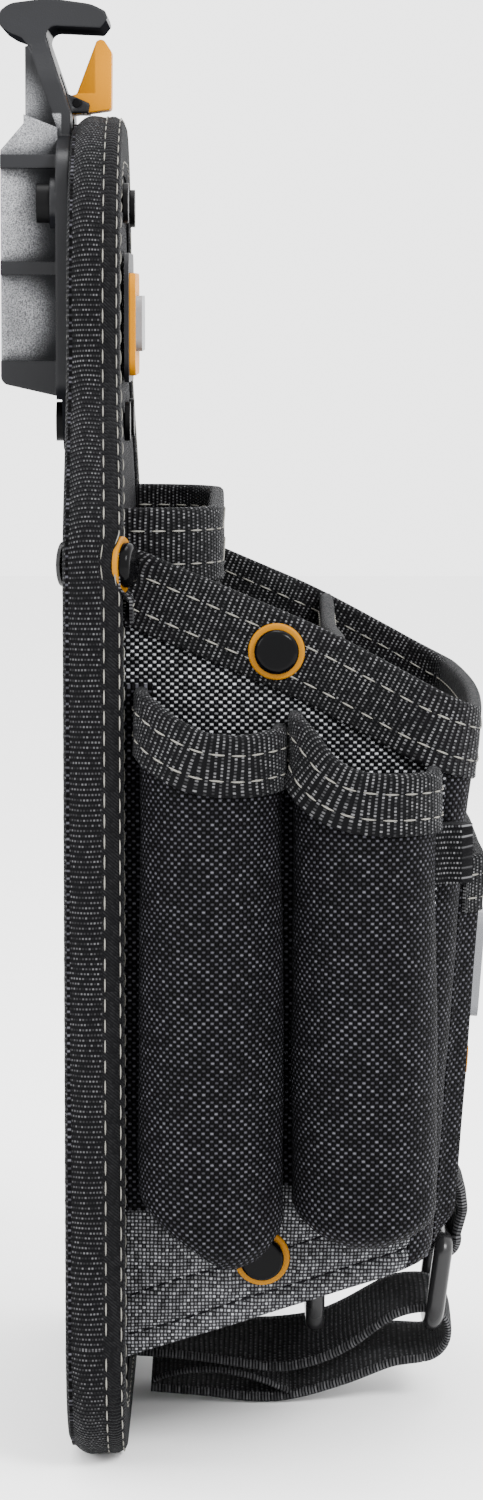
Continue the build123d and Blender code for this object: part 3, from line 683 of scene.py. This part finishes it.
def pressed(points, depth):
    """Sinks the cloth under the washers of the two corner rivets."""
    points = np.array(points, float)
    for side in (-1, 1):
        seat = CORNER_RIVET * (1, side, 1)
        normal = np.array([math.cos(RIVET_TILT), side * math.sin(RIVET_TILT), 0])
        away = points - seat
        height = away @ normal
        reach = np.linalg.norm(away - height[..., None] * normal, axis=-1)
        push = depth * (1 - smooth_step(6.0, 8.4, reach)) * smooth_step(-5.0, -0.6, height)
        points = points - push[..., None] * normal
    return points


def fuller_front(points):
    """Bows the pocket's front out below its rim, most at the middle."""
    x, y, z = points[..., 0], points[..., 1], points[..., 2]
    push = 2.6 * smooth_step(62, 82, x) * smooth_step(TRAY_TOP + 6, 160, z)
    push = push * np.clip(1 - (y / POCKET_HALF) ** 2, 0, 1)
    return points + push[..., None] * X_AXIS


def over_back_discs(points):
    """Lifts the rim tape's inner face over the back discs of the two rim rivets."""
    y = points[..., 1]
    inner = (np.abs(y) < POCKET_HALF - CLOTH + 0.05) & (np.abs(y) > POCKET_HALF - CLOTH - 3)
    near = 1 - smooth_step(5.4, 9.0, off_axis(points, RIM_RIVET))
    push = -np.sign(y) * np.where(inner, 1.5 * near, 0)
    return points + push[..., None] * Y_AXIS


# ---------------------------------------- main pocket
def pocket_plan(s, z):
    """Point on the pocket's outer face at s, from 0 at the panel on the near side, through 1 to 2 round the
    near front corner, to 5 at the panel on the far side; and its outward direction."""
    s, z = np.broadcast_arrays(np.asarray(s, float), np.asarray(z, float))
    front = front_x(z)
    mirrored = s > 2.5
    t = np.where(mirrored, 5 - s, s)
    side = np.clip(t, 0, 1)
    angle = np.clip(t - 1, 0, 1) * math.pi / 2
    across = np.clip((t - 2) / 0.5, 0, 1)
    r = POCKET_CORNER
    x = PANEL_FRONT + (front - r - PANEL_FRONT) * side + r * np.sin(angle)
    y = -POCKET_HALF + r * (1 - np.cos(angle)) + (POCKET_HALF - r) * across
    nx, ny = np.sin(angle), -np.cos(angle)
    y, ny = np.where(mirrored, -y, y), np.where(mirrored, -ny, ny)
    return np.stack([x, y, z], -1), unit(np.stack([nx, ny, -FRONT_LEAN * nx], -1))


def pocket_wall(name, s_values, material, slot, replaces, seam_depth=0.0, swell=0.0):
    """One wall of the pocket; returns the lines of its two seams above the foot, as stitch rows."""
    rows = np.r_[np.linspace(0, 0.12, 26)[:-1], np.linspace(0.12, 1, 46)]
    steps = len(rows)
    s = np.repeat(np.asarray(s_values, float)[:, None], steps, 1)
    foot = pocket_plan(s[:, :1], 50.0)[0][..., 0]
    low, high = floor_z(foot), rim_z(pocket_plan(s[:, :1], RIM_FRONT_Z)[0][..., 0]) - 0.3
    z = low + (high - low) * rows[None]
    point, normal = pocket_plan(s, z)
    t = np.where(s > 2.5, 5 - s, s)
    fullness = swell * bump(0.0, 1.0, t) * bump(-0.35, 1.0, rows)[None]
    above_foot = z - low
    drift = 0.6 * ripple(point[:, :1], 22.0, 12.0)
    seams = [HIGH_SEAM - drift, LOW_SEAM + drift]
    crease = sum(np.exp(-((above_foot - seam) / 0.85) ** 2) for seam in seams)
    puff = 0.7 * bump(LOW_SEAM, HIGH_SEAM, above_foot) + 0.4 * bump(0.0, LOW_SEAM, above_foot)
    crease = seam_depth * (crease - puff)
    near_foot = -0.9 * np.exp(-above_foot / 1.4)
    rough = 0.3 * ripple(point, 14.0, 5.0)
    offset = (fullness - crease + near_foot + rough) * smooth_step(6.3, 9.5, off_axis(point, LOW_RIVET))
    offset = (offset - 0.1)[..., None]
    outer = point + normal * offset
    inner = point - normal * (CLOTH - 0.2) + normal * np.clip(offset, 0, None) * 0.8
    # The far and front walls' cloth is cut from further along the weave.
    u = run_of(point[:, steps // 2]) + 300 * (s_values[0] > 1)
    uv = np.stack([np.repeat(u[:, None], steps, 1), z], -1)
    ribbon(name, outer, inner, material, slot, uv=uv, replaces=replaces)
    lines = []
    for seam in seams:
        line = [[np.interp(height, heights, column[:, k]) for k in range(3)]
                for height, heights, column in zip(seam[:, 0], above_foot, outer)]
        lines.append((np.array(line) + normal[:, 0] * 0.12, normal[:, 0]))
    return lines


def rim_path(step):
    """Line of the rim's cloth edge from the near flap on the panel round to the far one."""
    front = front_x(RIM_FRONT_Z)
    flap_x, flap_y = 14.0, POCKET_HALF + 12.2
    plan = filleted(
        [(flap_x, -flap_y), (flap_x, -POCKET_HALF, 2.2), (front, -POCKET_HALF, POCKET_CORNER),
         (front, POCKET_HALF, POCKET_CORNER), (flap_x, POCKET_HALF, 2.2), (flap_x, flap_y)], arc_step=7,
    )
    plan = resample(plan, step)
    return np.column_stack([plan, rim_z(plan[:, 0])])


def band_axes(path, lean):
    """Outward and upward directions of a tape that runs along path, with its outside to the right."""
    flow = tangents(path)
    flat = unit(right_of(path))
    flat[:, 2] = -lean * np.abs(flat[:, 0]) * (path[:, 0] > 40)
    out = unit(flat - flow * np.sum(flat * flow, 1, keepdims=True))
    return out, unit(np.cross(out, flow))


def hook_profile(width):
    """Outer face of a tape folded over an edge: down the outside is first, (outwards, up)."""
    out, back, lip = TAPE, -CLOTH - TAPE, 0.25
    line = filleted(
        [(out + lip, -width), (out + 0.1, -width + 1.2, 2.0), (out + 0.15, -width * 0.5, 20.0),
         (out, TAPE, 1.2), (back, TAPE, 1.2), (back - 0.1, -width * 0.5, 20.0), (back - lip, -width)],
        arc_step=18,
    )
    return resample(line, 0.85)


def bound_edge(name, path, width, slot, replaces, seed, rows=(4.2, 11.4), lean=FRONT_LEAN, inner_rows=True):
    """Tape folded over a cloth edge; returns the rows of stitches through its two faces."""
    out, up = band_axes(path, lean)
    profile = hook_profile(width)
    wave = ripple(path, 13.0, seed)
    shapes = np.repeat(profile[None], len(path), 0)
    outside = profile[None, :, 0] > -CLOTH / 2
    from_fold = np.clip(-profile[None, :, 1] / width, 0, 1)
    shapes[..., 0] += np.where(outside, BINDING_WAVE, -BINDING_WAVE) * wave[:, None] * from_fold
    swept(name, path, out, up, shapes, BINDING_THICKNESS, rim_webbing, slot, replaces=replaces)
    faces = []
    for row in rows:
        faces.append((path + out * (TAPE + 0.16) - up * row, out))
        if inner_rows:
            faces.append((path - out * (CLOTH + TAPE + 0.22) - up * row, -out))
    return faces


def make_pocket():
    """The main pocket's walls, floor and bound rim; returns the rim's stitch rows."""
    near = np.r_[np.linspace(0, 1, 60), 1 + np.linspace(0.1, 0.35, 4)]
    seams = pocket_wall("near_side_cloth", near, heather, "heather_weave", ["near_side_wall"], 0.8, 1.0)
    seams += pocket_wall("far_side_cloth", 5 - near, heather, "heather_weave", ["far_side_wall"], 0.8, 1.6)
    stitch_mesh("wall_seams", seams, dark_thread, "heather_weave", dash=2.3, gap=0.9, radius=0.24)
    front = np.r_[1.35, np.linspace(1.4, 2, 9), np.linspace(2.02, 2.98, 60), np.linspace(3, 3.6, 9), 3.65]
    pocket_wall("front_cloth", front, ballistic, "ballistic_weave", ["front_wall"])

    stations = np.linspace(PANEL_FRONT + 0.2, 79.5, 24)
    spread = np.linspace(-POCKET_HALF + CLOTH, POCKET_HALF - CLOTH, 40)
    x, y = np.meshgrid(stations, spread, indexing="ij")
    corner = np.clip(x - 68.0, 0, None)
    inset = POCKET_CORNER - np.sqrt(np.clip(POCKET_CORNER ** 2 - corner ** 2, 0, None))
    room = POCKET_HALF - CLOTH - inset
    y = np.clip(y, -room, room)
    sag = -1.2 * bump(PANEL_FRONT, 80.0, x) * bump(-70.0, 70.0, y)
    floor = np.stack([x, y, floor_z(x) + 0.1 + sag], -1)
    ribbon("floor_cloth", floor, floor + CLOTH * Z_AXIS, ballistic, "ballistic_weave",
           replaces=["pocket_floor"])
    return bound_edge("rim_tape", rim_path(1.2), RIM_BAND, "webbing", ["rim_binding"], seed=4.0)


def make_divider():
    """Divider across the pocket, and its bound top; returns its stitch rows."""
    spread = np.linspace(-POCKET_HALF + CLOTH + 0.3, POCKET_HALF - CLOTH - 0.3, 46)
    rows = np.linspace(0, 1, 40)
    top = rim_z(DIVIDER_X) - 0.6 - 2.2 * bump(-70, 70, spread)
    low = floor_z(DIVIDER_X) + CLOTH
    z = low + (top[:, None] - low) * rows[None]
    y = np.repeat(spread[:, None], len(rows), 1)
    bow = 1.2 * bump(-70, 70, y) * ripple(np.stack([0 * y, y, z], -1), 40.0, 9.0)
    outer = np.stack([DIVIDER_X + CLOTH + bow, y, z], -1)
    ribbon("divider_cloth", outer, outer - CLOTH * X_AXIS, ballistic, "ballistic_weave",
           replaces=["divider"])
    path = np.column_stack([np.full(len(spread), DIVIDER_X + CLOTH) + bow[:, -1], spread, top + 0.2])
    path = resample(path, 1.2)
    return bound_edge("divider_tape", path, 11.5, "webbing", ["divider_binding"], seed=6.0,
                      rows=(3.6, 8.8), lean=0.0)


def make_sleeve():
    """Sleeve pocket against the panel, tucked in at its foot; returns its rim's stitch rows."""
    plan = filleted(
        [(PANEL_FRONT, -SLEEVE_HALF), (SLEEVE_FRONT, -SLEEVE_HALF, 16.0), (SLEEVE_FRONT, SLEEVE_HALF, 18.0),
         (PANEL_FRONT, SLEEVE_HALF)], arc_step=7,
    )
    plan = resample(plan, 2.0)
    rows = np.linspace(0, 1, 40)
    normal = right_of(plan)
    z = np.broadcast_to(SLEEVE_LOW + (SLEEVE_TOP - SLEEVE_LOW) * rows, (len(plan), len(rows)))
    point = np.concatenate([np.repeat(plan[:, None], len(rows), 1), z[..., None]], -1)
    tuck = -(plan[:, None, 0:1] - PANEL_FRONT) * (1 - smooth_step(0, 0.16, rows))[None, :, None]
    point = point + X_AXIS * tuck
    bow = (0.5 * ripple(point, 30.0, 2.0))[..., None] * normal[:, None]
    ribbon("sleeve_cloth", point + bow, point + bow - normal[:, None] * CLOTH, ballistic, "ballistic_weave",
           replaces=["sleeve_pocket"])
    path = np.column_stack([plan, np.full(len(plan), SLEEVE_TOP + 0.1)])
    path = resample(path, 1.2)
    return bound_edge("sleeve_tape", path, RIM_BAND, "webbing", ["sleeve_binding"], seed=8.0, lean=0.0)


# ---------------------------------------- tube pockets
def make_tube(name, centre, mouth, foot, foot_round, seed):
    """Tube pocket whose foot is drawn in; mouth and foot are its top and bottom edges as (x, z)."""
    wall_y = -POCKET_HALF
    left, right = centre - TUBE_RADIUS, centre + TUBE_RADIUS
    crown_y, corner = wall_y - TUBE_STANDOFF - TUBE_RADIUS, TUBE_RADIUS * 0.93
    plan = filleted([(left, wall_y), (left, crown_y, corner), (right, crown_y, corner), (right, wall_y)],
                    arc_step=6)
    plan = resample(plan, 1.1)
    normal = right_of(plan)
    kernel = np.hanning(9) / np.hanning(9).sum()

    def edge(corners):
        heights = np.interp(plan[:, 0], *np.array(corners, float).T)
        return np.convolve(np.pad(heights, 4, mode="edge"), kernel, "valid")

    top, foot = edge(mouth), edge(foot)
    rows = np.r_[np.linspace(0, 0.16, 14)[:-1], np.linspace(0.16, 1, 60)]
    z = foot[:, None] + (top - foot)[:, None] * rows[None]
    height = np.clip((z - foot[:, None]) / foot_round, 0, 1)
    gather = 0.03 + 0.97 * (1 - (1 - height) ** 2.4) ** (1 / 2.4)
    x = centre + (plan[:, None, 0] - centre) * gather
    y = wall_y + (plan[:, None, 1] - wall_y) * gather
    point = np.stack([x, y, z], -1)
    dent = 0.35 * ripple(point, 26.0, seed) + 0.18 * ripple(point, 9.0, seed + 3)
    waist = -0.5 * bump(0.55, 1.0, rows)[None]
    shift = (dent + waist)[..., None] * normal[:, None]
    outer = point + shift
    over_rivet = wall_y - 5.6 * (1 - smooth_step(6.4, 10.0, off_axis(outer, LOW_RIVET)))
    outer[..., 1] = np.minimum(outer[..., 1], over_rivet)
    inner = outer - normal[:, None] * CLOTH * gather[..., None]
    inner[:, :, 2] += 1.6 * (1 - height)
    u = run_of(plan)
    uv = np.stack([np.repeat(u[:, None], len(rows), 1), z], -1)
    ribbon(name + "_cloth", outer, inner, ballistic, "ballistic_weave", uv=uv, replaces=[name])
    keep = plan[:, 1] < wall_y - TAPE * 0.5
    path = np.column_stack([plan, top + 0.2])[keep]
    return bound_edge(name + "_tape", resample(path, 1.1), 12.0, "tube_webbing", [name + "_binding"],
                      seed=seed + 5, rows=(3.4, 8.9), lean=0.0, inner_rows=False)


def make_tube_flange():
    """Flat edges of the tubes' cloth, sewn down beside the panel and between the tubes."""
    for name, rear, front, low, high in (
        ("rear_tube_flange", 12.9, 19.0, 58.5, 172.0), ("tube_backing", 43.0, 52.5, 64.0, 160.0),
    ):
        xx, zz = np.meshgrid(np.linspace(rear, front, 9), np.linspace(low, high, 90), indexing="ij")
        y = -POCKET_HALF - 1.9 - 0.3 * ripple(np.stack([xx, 0 * xx, zz], -1), 15.0, 21.0)
        outer = np.stack([xx, y, zz], -1)
        ribbon(name, outer, outer + CLOTH * Y_AXIS, ballistic, "ballistic_weave")


def make_side_tab():
    """Small folded tab that sticks out at the pocket's near front corner."""
    rear_x, length, low, height, fold = 79.3, 6.2, 129.6, 12.8, 5.8
    along, up = np.meshgrid(np.linspace(0, 1, 14), np.linspace(0, 1, 24))
    y = -POCKET_HALF - 3.6 + 1.3 * smooth_step(0, 0.5, along) - 0.3 * np.sin(np.pi * up)
    outer = np.stack([rear_x + length * along, y, low + height * up], -1)
    ribbon("corner_tab", outer, outer + fold * Y_AXIS, rim_webbing, "webbing", replaces=["side_tab"])


# ---------------------------------------- front pocket
def make_front_pocket():
    """Shallow pocket on the front wall; returns its rim's stitch rows."""
    spread = np.linspace(-TRAY_HALF, TRAY_HALF, 60)
    rows = np.linspace(0, 1, 44)
    z = TRAY_LOW + (TRAY_TOP - TRAY_LOW) * rows
    y, zz = np.meshgrid(spread, z, indexing="ij")
    edge = np.minimum(smooth_step(0, 6, TRAY_HALF - np.abs(y)), smooth_step(0, 7, zz - TRAY_LOW))
    depth = 0.5 + (TRAY_DEPTH - 0.5) * edge + 0.25 * ripple(np.stack([0 * y, y, zz], -1), 24.0, 4.0) * edge
    outer = np.stack([front_x(zz) + depth, y, zz], -1)
    inner = outer - X_AXIS * np.clip(CLOTH, 0, depth - 0.2)[..., None]
    ribbon("front_pocket_cloth", outer, inner, ballistic, "ballistic_weave", replaces=["front_pocket"])
    path = resample(outer[:, -1] + 0.3 * Z_AXIS, 1.3)
    return bound_edge("front_pocket_tape", path, 11.5, "webbing", ["front_pocket_binding"], seed=2.0,
                      rows=(3.4, 8.6), inner_rows=False)


# ---------------------------------------- tabs, strap and hook patch
def flat_strap(name, line, half, thickness, slot, body, replaces, lift=None, wave=0.0, seed=0.0, taper=0):
    """Strap along an (x, z) line, flat across Y; lift raises its far edge at each point, wave is the
    height of its ripples, and taper thins that many stations at its end."""
    line = np.asarray(line, float)
    flow = tangents(line)
    over = np.column_stack([-flow[:, 1], np.zeros(len(line)), flow[:, 0]])
    across = np.linspace(-half, half, 13)
    base = np.column_stack([line[:, 0], np.zeros(len(line)), line[:, 1]])
    lift = np.zeros(len(line)) if lift is None else lift
    share = across / (2 * half)
    outer = base[:, None] + Y_AXIS * across[None, :, None]
    outer = outer + Z_AXIS * (lift[:, None] * share[None])[..., None]
    outer = outer + over[:, None] * (wave * ripple(outer, 16.0, seed))[..., None]
    thin = thickness / 2 * (1 - 0.25 * np.abs(share * 2) ** 8) * np.ones((len(line), 1))
    if taper:
        thin[-taper:] *= np.linspace(1, 0.5, taper)[:, None]
    top = outer + over[:, None] * thin[..., None]
    low = outer - over[:, None] * thin[..., None]
    ribbon(name, top, low, strap_webbing, slot, body=body, replaces=replaces)


def strap_line():
    """From the panel's foot forward, then down round the front ring."""
    run = filleted([(13.5, 12.8), (54.8, 10.6, 38), (74.0, 23.2, 16), (80, 23.6)], arc_step=4)
    turn = [(80 + 6 * math.sin(a), 17.6 + 6 * math.cos(a)) for a in np.linspace(0.1, math.pi, 18)]
    return resample(np.vstack([run, turn, [(78.6, 11.6)]]), 1.0)


def tail_line():
    """From the ring back to the panel's foot."""
    return resample(filleted([(79.9, 11.6), (73, 11.2, 16), (47, 3.4, 60), (17, 4.2)], arc_step=3), 1.0)


def tilt(x):
    """How far the strap's far edge stands above its near edge, in mm."""
    return 1.5 + 4.8 * bump(14, 92, x) - 0.5 * bump(46, 66, x)


def make_strap():
    """The strap, its tail, and the hook tape that holds the tail to the strap."""
    run, tail = strap_line(), tail_line()
    flat_strap("strap_webbing_run", run, STRAP_HALF, STRAP_THICKNESS, "webbing", "pouch", ["strap"],
               tilt(run[:, 0]), wave=0.25, seed=1.0, taper=3)
    flat_strap("strap_webbing_tail", tail, STRAP_HALF, STRAP_THICKNESS, "webbing", "strap_tail",
               ["strap_tail"], tilt(tail[:, 0]), wave=0.3, seed=2.0)
    arch = np.array([(17.5 + 31.5 * t, 5.9 - 0.5 * t + 3.7 * math.sin(math.pi * t) ** 0.8)
                     for t in np.linspace(0, 1, 34)])
    flat_strap("hook_patch_tape", arch, STRAP_HALF, 1.0, "hook_tape", "strap_tail", ["hook_patch"],
               tilt(arch[:, 0]), wave=0.15, seed=5.0)


def make_spring():
    """The leaf behind the lever, a fixed copy of the CAD leaf with its own mesh; on the real pouch it
    flattens against the bracket's front as the lever is pushed back.
    """
    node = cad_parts["lever_spring"]
    leaf = bpy.data.objects.new("spring_leaf", node.data.copy())
    leaf.matrix_world = node.matrix_world.copy()
    bpy.context.scene.collection.objects.link(leaf)
    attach(leaf, "pouch")
    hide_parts("lever_spring")
    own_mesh(leaf)


def loop_tab(name, centre, top, thickness, replaces):
    """Webbing sewn to the pocket at its top and looped round a ring's bar."""
    x, z = centre
    angles = np.linspace(math.radians(-20), math.radians(215), 22)
    loop = [(x + 3.1 * math.cos(a), z - 3.1 * math.sin(a)) for a in angles]
    height = top[1] - z
    bulge = height * 0.08
    front = [(top[0] + 1.6, top[1]), (x + 2.6 + bulge, z + height * 0.7),
             (x + 3.2 + bulge, z + height * 0.4)]
    back = [(x - 2.6, z + 4.4), (top[0] - 1.0, top[1] - 3)]
    line = filleted([front[0], (*front[1], 4), (*front[2], 5), tuple(loop[0])], arc_step=8)
    line = resample(np.vstack([line, loop[1:], back]), 0.8)
    flat_strap(name, line, TAB_HALF, thickness, "webbing", "pouch", replaces)


rows = make_pocket()
make_panel()
rows += make_divider()
rows += make_sleeve()
rows += make_tube(
    "rear_tube", 31.4, [(12, 173), (16, 171), (22, 167), (30, 163), (38, 162.3), (50, 163.5)],
    [(15, 57), (22, 52), (30, 48), (38, 45.8), (44, 46.6), (47, 50)], foot_round=9.0, seed=11.0,
)
rows += make_tube(
    "front_tube", 64.4, [(46, 168), (51, 164.5), (57, 157.5), (62, 155), (68, 154.3), (82, 154)],
    [(48, 55), (54, 52), (62, 50.8), (72, 51.2), (80, 53)], foot_round=8.0, seed=17.0,
)
make_tube_flange()
make_side_tab()
rows += make_front_pocket()
make_strap()
make_spring()
loop_tab("front_ring_loop", (84.6, 38.4), (83.4, 55.5), 2.6, ["front_ring_tab"])
loop_tab("rear_ring_loop", (55.0, 34.8), (55.0, 39.5), 1.5, ["rear_ring_tab"])
stitch_mesh("pocket_stitches", rows, thread, "webbing", dash=3.1, gap=1.5)


# ---------------------------------------- floor, light and camera
def make_stage():
    mesh = bpy.data.meshes.new("floor")
    reach, z = 3.0, panel_low.z
    corners = [(-reach, -reach, z), (reach, -reach, z), (reach, reach, z), (-reach, reach, z)]
    mesh.from_pydata(corners, [], [(0, 1, 2, 3)])
    floor = bpy.data.objects.new("floor", mesh)
    floor.data.materials.append(plain("floor_paper", (0.9, 0.9, 0.9), 0.9, vary=0.01, specular=0.2))
    bpy.context.scene.collection.objects.link(floor)

    world = bpy.data.worlds.new("studio")
    world.use_nodes = True
    background = world.node_tree.nodes["Background"]
    background.inputs["Color"].default_value = (1, 1, 1, 1)
    background.inputs["Strength"].default_value = 3.4
    bpy.context.scene.world = world

    aim = Vector((0.04, 0, -0.1))

    def area(name, place_at, width, power):
        light = bpy.data.lights.new(name, "AREA")
        light.energy = power
        light.shape = "RECTANGLE"
        light.size, light.size_y = width, width
        lamp = bpy.data.objects.new(name, light)
        lamp.location = place_at
        lamp.rotation_euler = (aim - Vector(place_at)).to_track_quat("-Z", "Y").to_euler()
        bpy.context.scene.collection.objects.link(lamp)

    area("key", (0.75, -1.0, 0.75), 0.45, 34)
    area("fill", (-0.9, -0.7, 0.45), 0.5, 9)
    area("top", (0.1, 0.1, 1.2), 0.6, 14)

    camera = bpy.data.cameras.new("camera")
    camera.lens, camera.sensor_width = 104.4, 36.0
    camera.clip_start, camera.clip_end = 0.05, 20
    eye = bpy.data.objects.new("camera", camera)
    eye.location = place([38.0, -1000.0, 255.0])
    target = Vector(place([38.0, 0.0, 151.0]))
    eye.rotation_euler = (target - eye.location).to_track_quat("-Z", "Y").to_euler()
    bpy.context.scene.collection.objects.link(eye)
    bpy.context.scene.camera = eye


make_stage()
